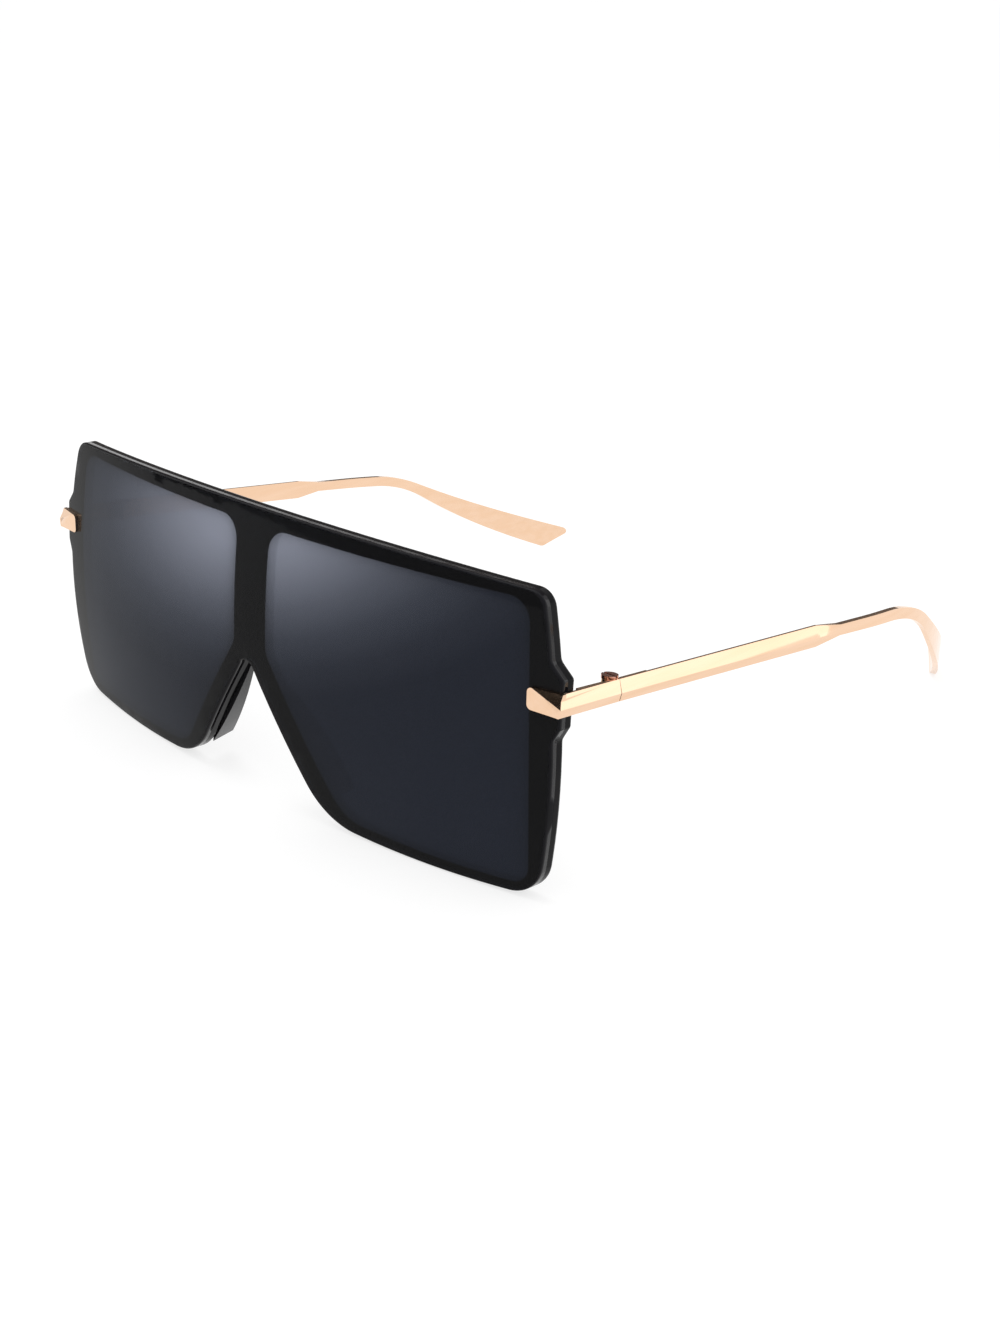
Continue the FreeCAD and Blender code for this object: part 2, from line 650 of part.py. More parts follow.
def make_endpiece(label, side):
    """The metal bar that wraps from the lens face round the lug and back to the hinge, with its studs."""
    half = "bar_height / 2"
    corner = (ARM.inverse() * FRONT * Placement(plate_points(side)[1], Rotation())).Base
    sections = [
        (f"{corner.y}", bar_section(side, BAR_OUTER_X, "bar_thickness", f"{corner.z} - {half}",
                                    f"{corner.z} + {half}", True)),
        ("-seam_gap", bar_section(side, BAR_OUTER_X, "bar_thickness", f"-{half}", half, True)),
    ]
    bar = lofted_bar(f"endpiece_bar_{label}", sections)
    bar.Placement = ARM
    studs = []
    for count, place in enumerate(stud_places(side), start=1):
        length = f"plate_thickness / 2 + {FRONT_REACH} + nut_height - nut_cap - nut_seat"
        start = Placement(Vector(0, 0, -number("plate_thickness / 2")), Rotation())
        studs.append(solid_cylinder(f"stud_{label}_{count}", "stud_radius", length, FRONT * place * start))
    blank = fuse_all(f"endpiece_blank_{label}", [endpiece_plate(label, side), bar] + studs)
    return finish(cut_all(f"endpiece_{label}", blank, [endpiece_facet(label, side)]), f"endpiece_{label}")


def make_endpiece_nuts(label, side):
    """Two cap nuts on the studs, behind the frame."""
    nuts = []
    for count, place in enumerate(stud_places(side), start=1):
        seat = FRONT * place * Placement(Vector(0, 0, number(f"{FRONT_REACH} + nut_seat")), Rotation())
        cap = solid_cylinder(f"nut_body_{label}_{count}", "nut_radius", "nut_height", seat)
        bore = solid_cylinder(f"nut_bore_{label}_{count}", "stud_radius + stud_clearance",
                              "nut_height - nut_cap", seat)
        nuts.append(join("Part::Cut", f"nut_{label}_{count}", cap, bore))
    return finish(fuse_all(f"endpiece_nuts_{label}", nuts), f"endpiece_nuts_{label}")


# The hinges


def own_slope(side):
    """The frame of one arm, which slopes a little less or more than its hinge."""
    return ARM * Placement(Vector(), Rotation(Vector(1, 0, 0), side * number("pair_twist")))


def hinge_axis(side, up):
    """A frame on the hinge pin at a height, its Z axis along the pin."""
    return ARM * Placement(Vector(side * number(HINGE_X), -number("hinge_ahead"), number(up)), Rotation())


def knuckle(name, side, low, high):
    return solid_cylinder(name, "barrel_radius", f"({high}) - ({low})", hinge_axis(side, low))


def make_hinge_half(label, side, name, heights, leaf_ys, leaf_frame, tongue_ys, tongue_outer_x):
    """Knuckles at the given heights, each on a tongue to one leaf on the bar's inner face."""
    half = "barrel_height / 2"
    leaf_x = f"{BAR_INNER_X} - leaf_thickness"
    leaf_zs = (f"-{half}", half)
    pieces = [solid_box(f"{name}_leaf_{label}", side, (leaf_x, BAR_INNER_X), leaf_ys, leaf_zs, leaf_frame)]
    for count, (low, high) in enumerate(heights, start=1):
        pieces.append(knuckle(f"{name}_knuckle_{label}_{count}", side, low, high))
        pieces.append(solid_box(f"{name}_tongue_{label}_{count}", side, (leaf_x, tongue_outer_x),
                                tongue_ys, (low, high), ARM))
    bore = solid_cylinder(f"{name}_bore_{label}", "pin_radius + pin_clearance", "3 * barrel_height",
                          hinge_axis(side, "-1.5 * barrel_height"))
    blank = fuse_all(f"{name}_blank_{label}", pieces)
    return finish(cut_all(f"{name}_{label}", blank, [bore]), f"{name}_{label}")


def make_hinges(label, side):
    half = "barrel_height / 2"
    middle = "middle_knuckle_height / 2"
    start = "(barrel_radius + leaf_start)"
    front_heights = [(f"{middle} + knuckle_gap", half), (f"-{half}", f"-({middle} + knuckle_gap)")]
    front_leaf = (f"{FRONT_REACH} + leaf_clearance - endpiece_length", f"-hinge_ahead - {start}")
    front_tongue = (f"-hinge_ahead - {start}", "-hinge_ahead")
    arm_leaf = ("leaf_start", "leaf_start + arm_leaf_length")
    arm_tongue = ("-hinge_ahead", "leaf_start")
    arm_heights = [(f"-{middle}", middle)]
    splay_angle = math.degrees(math.atan(number("arm_splay / curl_start")))
    inner_edge = Vector(side * number(BAR_INNER_X), 0, 0)
    splay = Placement(Vector(), Rotation(Vector(0, 0, 1), -side * splay_angle), inner_edge)
    along_arm = own_slope(side) * splay
    clear_x = f"{BAR_INNER_X} - barrel_clearance"
    return [
        make_hinge_half(label, side, "hinge_front", front_heights, front_leaf, ARM, front_tongue,
                        BAR_INNER_X),
        make_hinge_half(label, side, "hinge_arm", arm_heights, arm_leaf, along_arm, arm_tongue,
                        clear_x),
    ]


def make_hinge_screw(label, side):
    half = "barrel_height / 2"
    foot = hinge_axis(side, f"-{half}")
    shank = solid_cylinder(f"screw_shank_{label}", "pin_radius", "barrel_height", foot)
    seat = hinge_axis(side, half)
    head = solid_cylinder(f"screw_head_{label}", "screw_head_radius", "screw_head_height", seat)
    slot_x = (f"{HINGE_X} - 2 * screw_head_radius", f"{HINGE_X} + 2 * screw_head_radius")
    slot_y = ("-hinge_ahead - screw_slot_width / 2", "-hinge_ahead + screw_slot_width / 2")
    top = f"{half} + screw_head_height"
    slot_z = (f"{top} - screw_slot_depth", f"{top} + screw_slot_depth")
    slot = solid_box(f"screw_slot_{label}", side, slot_x, slot_y, slot_z, ARM)
    blank = fuse_all(f"screw_blank_{label}", [shank, head])
    return finish(cut_all(f"hinge_screw_{label}", blank, [slot]), f"hinge_screw_{label}")


# The arms


def arm_profile(label, side):
    """The slim part, ear bend and tip seen from the side, as a block."""
    body = doc.addObject("PartDesign::Body", f"arm_profile_{label}")
    sketch = new_sketch(body, f"arm_profile_outline_{label}", "YZ_Plane")
    tip_top = f"{label}_tip_top_z"
    corners = [
        (NECK_END, "slim_top_z", None),
        ("ear_top_y", "ear_top_z", ("tip_bow_radius", -1)),
        ("tip_top_y", tip_top, None),
        ("tip_top_y - tip_end_back", f"{tip_top} - tip_end_drop", ("tip_sole_radius", 1)),
        ("ear_bottom_y", "ear_bottom_z", None),
        (NECK_END, "slim_bottom_z", None),
    ]
    draw_outline(sketch, corners)
    feature = pad_sketch(body, sketch, f"arm_profile_pad_{label}", f"{FAR / 2}", reverse=side < 0)
    rounds = (("ear_top_radius", (1,)), ("ear_bottom_radius", (4,)), ("tip_round", (2, 3)))
    for radius, picked in rounds:
        places = [corners[place][:2] for place in picked]
        feature = round_corners(body, feature, radius, places, Vector(1, 0, 0), "yz")
    return body


def arm_outer_x(along):
    """The arm's outer face at a place along its straight stretch."""
    return f"({BAR_OUTER_X} + arm_splay * ({along}) / curl_start)"


def arm_plan(label, side):
    """The same stretch seen from above: a strip that runs straight and then curves inwards."""
    body = doc.addObject("PartDesign::Body", f"arm_plan_{label}")
    sketch = new_sketch(body, f"arm_plan_outline_{label}", "XY_Plane")
    start_x = arm_outer_x("curl_start")
    lean = "(arm_splay / curl_start)"
    centre_x = f"({start_x} - curl_radius * sqrt(1 - {lean} ^ 2))"
    centre_y = f"(curl_start + curl_radius * {lean})"
    end_rise = f"(tip_top_y + slim_thickness - {centre_y})"
    inner_radius = "(curl_radius - slim_thickness)"
    corners = [
        (arm_outer_x(NECK_END), NECK_END, None),
        (start_x, "curl_start", ("curl_radius", -1)),
        (f"{centre_x} + sqrt(curl_radius ^ 2 - {end_rise} ^ 2)", f"{centre_y} + {end_rise}", None),
        (f"{centre_x} + sqrt({inner_radius} ^ 2 - {end_rise} ^ 2)", f"{centre_y} + {end_rise}",
         (inner_radius, 1)),
        (f"{start_x} - slim_thickness", "curl_start", None),
        (f"{arm_outer_x(NECK_END)} - slim_thickness", NECK_END, None),
    ]
    draw_outline(sketch, mirrored_outline(side, corners))
    pad_sketch(body, sketch, f"arm_plan_pad_{label}", f"{FAR / 2}", symmetric=True)
    return body


def make_arm(label, side):
    half = "bar_height / 2"
    wide = "wide_height / 2"
    broad = (arm_outer_x("wide_length"), "bar_thickness", f"-{wide}", wide)
    slim = (arm_outer_x(NECK_END), "slim_thickness", "slim_bottom_z", "slim_top_z")
    sections = [
        ("0", bar_section(side, BAR_OUTER_X, "bar_thickness", f"-{half}", half, True)),
        ("wide_length", bar_section(side, *broad, True)),
        (NECK_END, bar_section(side, *slim, False)),
    ]
    bar = lofted_bar(f"arm_bar_{label}", sections)
    curl = join("Part::Common", f"arm_curl_{label}", arm_profile(label, side), arm_plan(label, side))
    arm = join("Part::Fuse", f"arm_{label}", bar, curl)
    return finish(arm, f"arm_{label}", own_slope(side))


# The whole part


def make_part():
    pieces = [make_shield_lens(), make_front_frame()]
    for label, side in SIDES:
        pieces.append(make_nose_pad(label, side))
        pieces.append(make_endpiece(label, side))
        pieces.append(make_endpiece_nuts(label, side))
        pieces.extend(make_hinges(label, side))
        pieces.append(make_hinge_screw(label, side))
        pieces.append(make_arm(label, side))
    return pieces


def set_down(pieces):
    """Moves the whole part so that its box stands centred on the origin; returns the move."""
    box = FreeCAD.BoundBox()
    for piece in pieces:
        box.add(piece.Shape.optimalBoundingBox(False))
    move = Vector(-box.Center.x, -box.Center.y, -box.ZMin)
    for piece in pieces:
        piece.Placement = Placement(move, Rotation()) * piece.Placement
    return move


def check(pieces):
    doc.recompute()
    for thing in doc.Objects:
        if any(word in thing.State for word in BAD_STATES):
            raise RuntimeError(f"{thing.Name} did not build: {thing.State}")
    for piece in pieces:
        if piece.Shape.isNull() or not piece.Shape.isValid() or not piece.Shape.Solids:
            raise RuntimeError(f"{piece.Label} has no valid solid")


def write(pieces):
    os.makedirs("parts", exist_ok=True)
    for piece in pieces:
        piece.Shape.exportStep(f"parts/{piece.Label}.step")
        solids = len(piece.Shape.Solids)
        print(f"{piece.Label}: {solids} solid(s), {piece.Shape.Volume:.2f} mm3")


part_pieces = make_part()
check(part_pieces)
moved = set_down(part_pieces)
check(part_pieces)
write(part_pieces)
print(f"lens face's middle: {moved}")
for hinge_label, hinge_side in SIDES:
    pin = Placement(moved, Rotation()) * hinge_axis(hinge_side, "0")
    print(f"hinge {hinge_label}: through {pin.Base}, along {pin.Rotation.multVec(Vector(0, 0, 1))}")
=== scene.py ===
"""Looks for open shield sunglasses: a tinted lens on a black frame, rose-gold endpieces and arms.

Metres, in the part's own frame: +Z up, -Y out of the lens, +X to the wearer's left.
"""
import math
import bmesh
import bpy
from mathutils import Matrix, Vector


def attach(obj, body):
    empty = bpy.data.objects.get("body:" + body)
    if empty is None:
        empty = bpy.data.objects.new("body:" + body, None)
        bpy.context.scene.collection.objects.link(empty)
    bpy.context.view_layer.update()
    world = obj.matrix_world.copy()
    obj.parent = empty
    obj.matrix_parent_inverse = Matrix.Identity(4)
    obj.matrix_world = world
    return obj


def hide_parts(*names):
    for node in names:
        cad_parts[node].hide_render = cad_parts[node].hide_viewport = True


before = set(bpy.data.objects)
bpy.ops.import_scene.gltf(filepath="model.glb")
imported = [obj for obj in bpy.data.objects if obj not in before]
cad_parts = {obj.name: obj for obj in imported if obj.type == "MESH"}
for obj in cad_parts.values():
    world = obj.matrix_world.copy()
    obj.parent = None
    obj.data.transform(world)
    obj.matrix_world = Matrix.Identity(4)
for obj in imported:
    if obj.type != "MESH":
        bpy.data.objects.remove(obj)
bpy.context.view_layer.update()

MM = 0.001
SIDES = ("left", "right")

# Camera of the photograph: metres, degrees and millimetres
CAMERA_PLACE = (0.270097, -0.265154, 0.160071)
CAMERA_TURN = (67.707, 1.030, 45.799)
CAMERA_LENS = 50.716
CAMERA_NEAR = 0.01

# The front: bent from side to side and from top to bottom, and leaning back. Millimetres, degrees
WRAP_RADIUS = 329.0
RISE_RADIUS = 208.0
RISE_MIDDLE = -9.3
FRONT_LEAN = 3.4
LEAN = Matrix.Rotation(math.radians(-FRONT_LEAN), 3, "X")
LENS_MIDDLE = Vector((0.0, -72.236, 37.925)) * MM
FRONT_THICKNESS = 3.4
LENS_THICKNESS = 1.5
LENS_SEAT = 0.05
LENS_EDGE_TURN = 12.0

# The lens's tint: dark smoke with a painted sheen, a lighter oval that stands for a soft light's reflection,
# under a faint grey film
SHEEN_REACH = 2.0
SHEEN_MIDDLE = (2.0 * MM, LENS_MIDDLE.y, LENS_MIDDLE.z + 21.0 * MM)
SHEEN_RADII = (40.5 * MM * SHEEN_REACH, 1.0, 18.4 * MM * SHEEN_REACH)
SHEEN_TILT = math.radians(-14.0)
SMOKE_DARK = (0.008, 0.011, 0.019)
SHEEN_COLOR = (0.225, 0.236, 0.274)
FILM_DARK = (0.50, 0.50, 0.53)
FILM_LIGHT = (0.60, 0.60, 0.64)
FILM_SHARE = 0.02
SPREAD_SHARE = 0.85
SPREAD_STRENGTH = 1.80
SPREAD_POWER = 0.7
HAZE_SCALE = 90.0
LENS_SLOT_COLOR = (0.03, 0.032, 0.04)

# Refractive indices of the plastics, low so that their gloss stays faint, and the pads' clearness
LENS_IOR = 1.12
BLACK_IOR = 1.18
PAD_IOR = 1.2
PAD_CLEARNESS = 0.5

# The cap nuts behind the front, in millimetres
STUD_ACROSS = (69.1, 72.1)
STUD_UP = 0.5
NUT_RADIUS = 1.2
NUT_CROWN = 0.85
NUT_HEIGHT = 1.1
NUT_SIDES = 40

# Broken edges, in millimetres, and the bends in degrees over which an edge counts as sharp.
# Corners nearer than MERGE_REACH, in metres, are one corner
MERGE_REACH = 1e-6
METAL_BREAK = 0.12
NUT_BREAK = 0.2
METAL_BEND = 20.0
ENDPIECE_BEND = 8.0
NUT_BEND = 25.0
LENS_BEND = 35.0

# The studio's floor, cards and ambient light
FLOOR_HALF = 8.0
FLOOR_SHADE = 0.38
FLOOR_GLOW = 0.72
CARD_ROUGHNESS = 0.9
AMBIENT = 0.75


def on_front(across, up, depth):
    """A place on the bent front, and the way straight in there."""
    over = up - RISE_MIDDLE
    drum = WRAP_RADIUS - RISE_RADIUS + math.sqrt(RISE_RADIUS ** 2 - over ** 2)
    turn = math.asin(across / drum)
    lift = math.asin(over / RISE_RADIUS)
    level = math.cos(lift)
    inward = Vector((-math.sin(turn) * level, math.cos(turn) * level, -math.sin(lift)))
    place = Vector((across, WRAP_RADIUS - drum * math.cos(turn), up)) + inward * depth
    return LENS_MIDDLE + LEAN @ place * MM, LEAN @ inward


def lens_face_before(point):
    """The place on the lens's face in front of a point, and the way straight in there."""
    flat = LEAN.transposed() @ (point - LENS_MIDDLE) / MM
    return on_front(flat.x, flat.z, 0.0)


# Materials


def new_material(name, slot_color):
    """An empty node material with its Principled shader; slot_color shows in the viewport."""
    material = bpy.data.materials.new(name)
    material.use_nodes = True
    material.diffuse_color = (*slot_color, 1.0)
    shader = material.node_tree.nodes["Principled BSDF"]
    return material, material.node_tree, shader


def object_place(tree, stretch=(1.0, 1.0, 1.0)):
    """Object coordinates, stretched."""
    place = tree.nodes.new("ShaderNodeTexCoord")
    mapping = tree.nodes.new("ShaderNodeMapping")
    mapping.inputs["Scale"].default_value = stretch
    tree.links.new(place.outputs["Object"], mapping.inputs["Vector"])
    return mapping.outputs["Vector"]


def add_noise(tree, place, scale, detail=3.0):
    """A noise factor at a place."""
    noise = tree.nodes.new("ShaderNodeTexNoise")
    noise.inputs["Scale"].default_value = scale
    noise.inputs["Detail"].default_value = detail
    tree.links.new(place, noise.inputs["Vector"])
    return noise.outputs["Fac"]


def add_ramp(tree, factor, stops):
    """A colour ramp from (position, colour) stops."""
    ramp = tree.nodes.new("ShaderNodeValToRGB")
    band = ramp.color_ramp
    while len(band.elements) < len(stops):
        band.elements.new(0.5)
    for element, (position, color) in zip(band.elements, stops):
        element.position = position
        element.color = (*color, 1.0)
    tree.links.new(factor, ramp.inputs["Fac"])
    return ramp.outputs["Color"]


def add_range(tree, factor, low, high):
    """The factor moved to a range."""
    change = tree.nodes.new("ShaderNodeMapRange")
    change.inputs["To Min"].default_value = low
    change.inputs["To Max"].default_value = high
    tree.links.new(factor, change.inputs["Value"])
    return change.outputs["Result"]


def add_bump(tree, shader, height, strength, distance):
    """Gives a shader fine relief from a height factor."""
    bump = tree.nodes.new("ShaderNodeBump")
    bump.inputs["Strength"].default_value = strength
    bump.inputs["Distance"].default_value = distance
    tree.links.new(height, bump.inputs["Height"])
    tree.links.new(bump.outputs["Normal"], shader.inputs["Normal"])


def mix_shaders(tree, shader, other, share):
    """Sends the Principled shader to the surface with a share of another one."""
    both = tree.nodes.new("ShaderNodeMixShader")
    both.inputs["Fac"].default_value = share
    tree.links.new(shader.outputs["BSDF"], both.inputs[1])
    tree.links.new(other.outputs["BSDF"], both.inputs[2])
    tree.links.new(both.outputs["Shader"], tree.nodes["Material Output"].inputs["Surface"])


def painted_sheen_oval(tree):
    """A factor for the painted sheen: it fades from a soft oval at the lens's top, over the bridge."""
    place = tree.nodes.new("ShaderNodeTexCoord")
    oval = tree.nodes.new("ShaderNodeMapping")
    oval.vector_type = "TEXTURE"
    oval.inputs["Location"].default_value = SHEEN_MIDDLE
    oval.inputs["Rotation"].default_value = (0.0, SHEEN_TILT, 0.0)
    oval.inputs["Scale"].default_value = SHEEN_RADII
    tree.links.new(place.outputs["Object"], oval.inputs["Vector"])
    fade = tree.nodes.new("ShaderNodeTexGradient")
    fade.gradient_type = "SPHERICAL"
    tree.links.new(oval.outputs["Vector"], fade.inputs["Vector"])
    return fade.outputs["Fac"]


def smoke_and_sheen_stops(strength=1.0, power=1.0):
    """Ramp stops from dark blue smoke to the light grey of the painted sheen in the oval."""
    stops = []
    for position in (0.0, 0.15, 0.3, 0.45, 0.6, 0.75, 0.9, 1.0):
        # light is the painted sheen's share at this ramp position
        light = math.exp(-(SHEEN_REACH * (1.0 - position)) ** 2)
        color = [low + light * high for low, high in zip(SMOKE_DARK, SHEEN_COLOR)]
        stops.append((position, tuple(strength * value ** power for value in color)))
    return stops


def smoke_sheen_lens_front():
    """The polished front face: smoke with a painted sheen that makes it lighter in the oval, under a faint
    grey film.
    """
    material, tree, shader = new_material("smoke_sheen_lens_front", LENS_SLOT_COLOR)
    color = add_ramp(tree, painted_sheen_oval(tree), smoke_and_sheen_stops())
    tree.links.new(color, shader.inputs["Base Color"])
    haze = add_noise(tree, object_place(tree), HAZE_SCALE)
    tree.links.new(add_range(tree, haze, low=0.02, high=0.05), shader.inputs["Roughness"])
    shader.inputs["IOR"].default_value = LENS_IOR
    shader.inputs["Transmission Weight"].default_value = 1.0
    film = tree.nodes.new("ShaderNodeBsdfDiffuse")
    tree.links.new(add_ramp(tree, haze, [(0.2, FILM_DARK), (0.8, FILM_LIGHT)]), film.inputs["Color"])
    mix_shaders(tree, shader, film, FILM_SHARE)
    return material


def smoke_sheen_lens_back():
    """The back face: its tint, with the same painted sheen in the oval, spreads the light, so that only what
    touches it shows through.
    """
    material, tree, shader = new_material("smoke_sheen_lens_back", LENS_SLOT_COLOR)
    fade = painted_sheen_oval(tree)
    tree.links.new(add_ramp(tree, fade, smoke_and_sheen_stops()), shader.inputs["Base Color"])
    haze = add_noise(tree, object_place(tree), HAZE_SCALE)
    tree.links.new(add_range(tree, haze, low=0.05, high=0.10), shader.inputs["Roughness"])
    shader.inputs["IOR"].default_value = LENS_IOR
    shader.inputs["Transmission Weight"].default_value = 1.0
    spread = tree.nodes.new("ShaderNodeBsdfTranslucent")
    tree.links.new(add_ramp(tree, fade, smoke_and_sheen_stops(SPREAD_STRENGTH, SPREAD_POWER)), spread.inputs["Color"])
    mix_shaders(tree, shader, spread, SPREAD_SHARE)
    return material


def polished_black(name, color, gloss):
    """Black moulded plastic, polished, with faint mottling and moulding waves."""
    material, tree, shader = new_material(name, color)
    place = object_place(tree)
    mottle = add_noise(tree, place, scale=420.0)
    lighter = tuple(value * 1.5 for value in color)
    tree.links.new(add_ramp(tree, mottle, [(0.3, color), (0.75, lighter)]), shader.inputs["Base Color"])
    tree.links.new(add_range(tree, mottle, gloss[0], gloss[1]), shader.inputs["Roughness"])
    shader.inputs["IOR"].default_value = BLACK_IOR
    waves = add_noise(tree, place, scale=160.0, detail=1.0)
    add_bump(tree, shader, waves, strength=0.05, distance=0.2 * MM)
    return material


def smoke_pad(name, color, gloss):
    """Dark clear plastic that lets a little light through."""
    material, tree, shader = new_material(name, color)
    cloud = add_noise(tree, object_place(tree), scale=260.0)
    darker = tuple(value * 0.8 for value in color)
    tree.links.new(add_ramp(tree, cloud, [(0.3, darker), (0.7, color)]), shader.inputs["Base Color"])
    tree.links.new(add_range(tree, cloud, gloss[0], gloss[1]), shader.inputs["Roughness"])
    shader.inputs["IOR"].default_value = PAD_IOR
    shader.inputs["Transmission Weight"].default_value = PAD_CLEARNESS
    return material


def plated_metal(name, color, gloss, along=(700.0, 40.0, 700.0)):
    """Plated metal with fine polishing lines, which run along the arms unless along says otherwise."""
    material, tree, shader = new_material(name, color)
    lines = add_noise(tree, object_place(tree, along), scale=1.0, detail=4.0)
    deeper = tuple(value * share for value, share in zip(color, (0.97, 0.94, 0.90)))
    tree.links.new(add_ramp(tree, lines, [(0.35, deeper), (0.65, color)]), shader.inputs["Base Color"])
    tree.links.new(add_range(tree, lines, gloss[0], gloss[1]), shader.inputs["Roughness"])
    shader.inputs["Metallic"].default_value = 1.0
    add_bump(tree, shader, lines, strength=0.04, distance=0.05 * MM)
    return material


lens_front = smoke_sheen_lens_front()
lens_back = smoke_sheen_lens_back()
lens_edge = polished_black("polished_lens_edge", (0.006, 0.006, 0.008), gloss=(0.06, 0.12))
frame_black = polished_black("moulded_black", (0.006, 0.006, 0.007), gloss=(0.10, 0.18))
pad_smoke = smoke_pad("nose_pad_smoke", (0.022, 0.022, 0.024), gloss=(0.12, 0.25))
rose_gold = plated_metal("rose_gold_plate", (0.87, 0.61, 0.43), gloss=(0.06, 0.14))
hinge_gold = plated_metal("hinge_gold_plate", (0.80, 0.56, 0.36), gloss=(0.18, 0.30))
screw_copper = plated_metal("screw_copper", (0.62, 0.33, 0.26), gloss=(0.15, 0.28),
                            along=(300.0, 300.0, 300.0))


# Pieces


def merged_copy(name, node, body, materials):
    """A copy of a solid's mesh with its corners joined, which stands for that solid."""
    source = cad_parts[node].data
    mesh = bpy.data.meshes.new(name)
    work = bmesh.new()
    work.from_mesh(source)
    bmesh.ops.remove_doubles(work, verts=work.verts, dist=MERGE_REACH)
    work.to_mesh(mesh)
    work.free()
    mesh.materials.clear()
    for material in materials:
        mesh.materials.append(material)
    piece = bpy.data.objects.new(name, mesh)
    bpy.context.scene.collection.objects.link(piece)
    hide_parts(node)
    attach(piece, body)
    return piece


def smooth_by_angle(mesh, degrees):
    """Smooth shading with edges kept sharp over an angle."""
    mesh.polygons.foreach_set("use_smooth", [True] * len(mesh.polygons))
    mesh.set_sharp_from_angle(angle=math.radians(degrees))


def soften_edges(piece, width, over_degrees):
    """Breaks the sharp edges of a piece with a small rounding."""
    soft = piece.modifiers.new("soft_edges", "BEVEL")
    soft.width = width
    soft.segments = 2
    soft.limit_method = "ANGLE"
    soft.angle_limit = math.radians(over_degrees)
    soft.harden_normals = True


def lens_finish(normal, middle):
    """The place of a lens face's finish in its list: 0 for the front, 1 for the back, 2 for the edge."""
    inward = lens_face_before(middle)[1].dot(normal)
    if abs(inward) < math.cos(math.radians(LENS_EDGE_TURN)):
        return 2
    return 1 if inward > 0.0 else 0


def dress_lens():
    """The lens with a finish for each of its faces, its back set a hair off the frame."""
    finishes = [lens_front, lens_back, lens_edge]
    lens = merged_copy("tinted_shield", "shield_lens", "front", finishes)
    for polygon in lens.data.polygons:
        polygon.material_index = lens_finish(polygon.normal, polygon.center)
    for vertex in lens.data.vertices:
        face, inward = lens_face_before(vertex.co)
        if (vertex.co - face).dot(inward) > LENS_THICKNESS / 2 * MM:
            vertex.co -= inward * LENS_SEAT * MM
    smooth_by_angle(lens.data, LENS_BEND)


def paint(node, material):
    """Gives a solid that shows as it is its finish."""
    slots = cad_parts[node].data.materials
    for place in range(len(slots)):
        slots[place] = material


def dress_metal(name, node, body, sharp_over):
    """A gold piece with broken edges; bends over sharp_over degrees stay crisp."""
    piece = merged_copy(name, node, body, [rose_gold])
    smooth_by_angle(piece.data, sharp_over)
    soften_edges(piece, METAL_BREAK * MM, METAL_BEND)


def cap_nut_tree():
    """Geometry nodes that set a tapered cap nut on every stud, facing along the stud."""
    tree = bpy.data.node_groups.new("cap_nuts", "GeometryNodeTree")
    inputs = {}
    for name, kind in (("Studs", "NodeSocketGeometry"), ("Nut radius", "NodeSocketFloat"),
                       ("Crown radius", "NodeSocketFloat"), ("Nut height", "NodeSocketFloat"),
                       ("Finish", "NodeSocketMaterial")):
        inputs[name] = tree.interface.new_socket(name, in_out="INPUT", socket_type=kind).identifier
    tree.interface.new_socket("Nuts", in_out="OUTPUT", socket_type="NodeSocketGeometry")
    given = tree.nodes.new("NodeGroupInput")
    nut = tree.nodes.new("GeometryNodeMeshCone")
    nut.inputs["Vertices"].default_value = NUT_SIDES
    tree.links.new(given.outputs["Nut radius"], nut.inputs["Radius Bottom"])
    tree.links.new(given.outputs["Crown radius"], nut.inputs["Radius Top"])
    tree.links.new(given.outputs["Nut height"], nut.inputs["Depth"])
    facing = tree.nodes.new("GeometryNodeInputNamedAttribute")
    facing.data_type = "FLOAT_VECTOR"
    facing.inputs["Name"].default_value = "facing"
    turn = tree.nodes.new("FunctionNodeAlignRotationToVector")
    turn.axis = "Z"
    tree.links.new(facing.outputs["Attribute"], turn.inputs["Vector"])
    spread = tree.nodes.new("GeometryNodeInstanceOnPoints")
    tree.links.new(given.outputs["Studs"], spread.inputs["Points"])
    tree.links.new(nut.outputs["Mesh"], spread.inputs["Instance"])
    tree.links.new(turn.outputs["Rotation"], spread.inputs["Rotation"])
    real = tree.nodes.new("GeometryNodeRealizeInstances")
    tree.links.new(spread.outputs["Instances"], real.inputs["Geometry"])
    dressed = tree.nodes.new("GeometryNodeSetMaterial")
    tree.links.new(real.outputs["Geometry"], dressed.inputs["Geometry"])
    tree.links.new(given.outputs["Finish"], dressed.inputs["Material"])
    made = tree.nodes.new("NodeGroupOutput")
    tree.links.new(dressed.outputs["Geometry"], made.inputs["Nuts"])
    return tree, inputs


def dress_nuts():
    """The four cap nuts behind the front, as one piece."""
    seats = [on_front(side * across, STUD_UP, FRONT_THICKNESS) for side in (1, -1) for across in STUD_ACROSS]
    studs_mesh = bpy.data.meshes.new("studs")
    studs_mesh.from_pydata([tuple(place) for place, _ in seats], [], [])
    facing = studs_mesh.attributes.new("facing", "FLOAT_VECTOR", "POINT")
    facing.data.foreach_set("vector", [value for _, inward in seats for value in inward])
    studs = bpy.data.objects.new("studs", studs_mesh)
    bpy.context.scene.collection.objects.link(studs)
    tree, inputs = cap_nut_tree()
    spread = studs.modifiers.new("cap_nuts", "NODES")
    spread.node_group = tree
    spread[inputs["Nut radius"]] = NUT_RADIUS * MM
    spread[inputs["Crown radius"]] = NUT_CROWN * MM
    spread[inputs["Nut height"]] = NUT_HEIGHT * MM
    spread[inputs["Finish"]] = hinge_gold
    made = studs.evaluated_get(bpy.context.evaluated_depsgraph_get())
    mesh = bpy.data.meshes.new_from_object(made)
    bpy.data.objects.remove(studs)
    nuts = bpy.data.objects.new("cap_nuts", mesh)
    bpy.context.scene.collection.objects.link(nuts)
    smooth_by_angle(mesh, NUT_BEND)
    soften_edges(nuts, NUT_BREAK * MM, NUT_BEND)
    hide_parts(*[f"endpiece_nuts_{side}" for side in SIDES])
    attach(nuts, "front")


